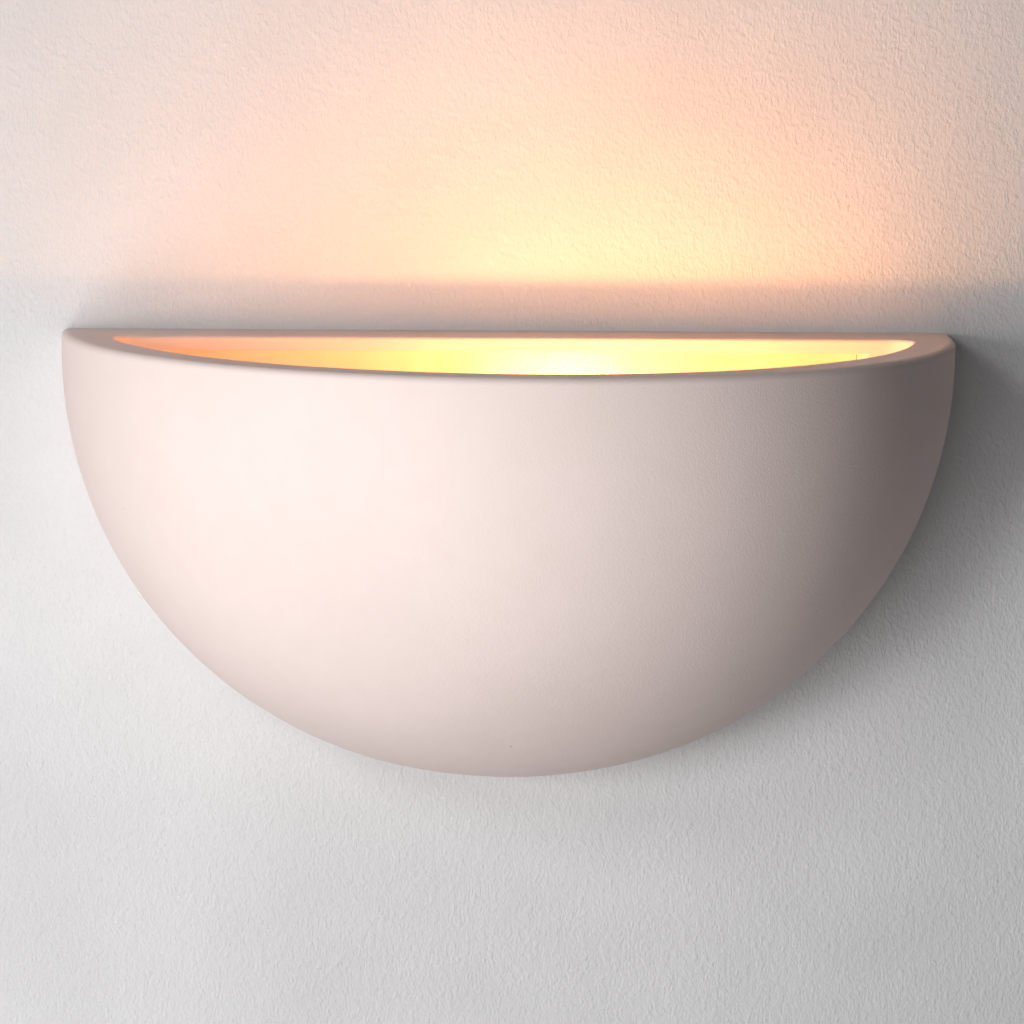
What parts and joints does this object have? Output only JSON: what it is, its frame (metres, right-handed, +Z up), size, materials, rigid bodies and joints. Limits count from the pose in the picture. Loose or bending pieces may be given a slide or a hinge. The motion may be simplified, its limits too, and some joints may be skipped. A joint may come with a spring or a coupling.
{
  "type": "uplighter wall sconce",
  "caption": "Half-bowl ceramic uplighter: an open-topped shade that hangs on a hooked steel wall plate carrying a screw-in lamp.",
  "frame": {"origin": "midway between the two wall screws, on the wall's surface", "axes": "+X along the wall to the right seen from the room, +Y into the wall, +Z up"},
  "size_m": [0.3, 0.15, 0.149],
  "materials": {
    "bisque_ceramic": "matte",
    "white_steel": "satin",
    "grommet_rubber": "matte",
    "white_moulding": "satin",
    "brass": "satin",
    "zinc_steel": "satin",
    "tinned_copper": "satin",
    "rivet_aluminium": "satin",
    "steatite": "matte",
    "brown_insulation": "satin",
    "blue_insulation": "satin",
    "green_insulation": "satin",
    "solder": "satin",
    "black_glass": "gloss",
    "cap_brass": "satin",
    "lamp_glass": "polished",
    "stem_glass": "polished",
    "nickel_wire": "satin",
    "tungsten": "satin"
  },
  "bodies": {
    "mounting": {"wall_plate": "white_steel", "cable_grommet": "grommet_rubber", "terminal_block": "white_moulding", "terminal_tubes": "brass", "terminal_screws": "zinc_steel", "block_screws": "zinc_steel", "earth_stud": "zinc_steel", "earth_tag": "tinned_copper", "earth_washer": "zinc_steel", "earth_nut": "brass", "lamp_bracket": "white_steel", "bracket_rivets": "rivet_aluminium", "holder_nipple": "brass", "nipple_washer": "zinc_steel", "nipple_nut": "zinc_steel", "holder_cap": "white_moulding", "holder_barrel": "white_moulding", "holder_insert": "steatite", "holder_shell": "brass", "holder_contact": "brass", "holder_terminals": "brass", "holder_terminal_screws": "zinc_steel", "live_wire": "brown_insulation", "neutral_wire": "blue_insulation", "earth_wire": "green_insulation"},
    "shade": {"shade": "bisque_ceramic"},
    "lamp_tip": {"lamp_tip": "solder"},
    "lamp": {"lamp_insulator": "black_glass", "lamp_cap": "cap_brass", "lamp_glass": "lamp_glass", "lamp_stem": "stem_glass", "lamp_leads": "nickel_wire", "lamp_support": "nickel_wire", "lamp_filament": "tungsten"}
  },
  "joints": [
    {"name": "shade_lift", "type": "slide", "parent": "mounting", "child": "shade", "axis": [0, 0, 1], "range_m": [0, 0.007]},
    {"name": "lamp_travel", "type": "slide", "parent": "mounting", "child": "lamp_tip", "axis": [1, 0, 0], "range_m": [0, 0.0114]},
    {"name": "lamp_turn", "type": "hinge", "parent": "lamp_tip", "child": "lamp", "pos_m": [0, -0.072, 0], "axis": [1, 0, 0], "range_deg": [0, 1440]}
  ],
  "couplings": [
    {"joint": "lamp_travel", "follows": "lamp_turn", "m_per_rad": 0.00044882}
  ]
}
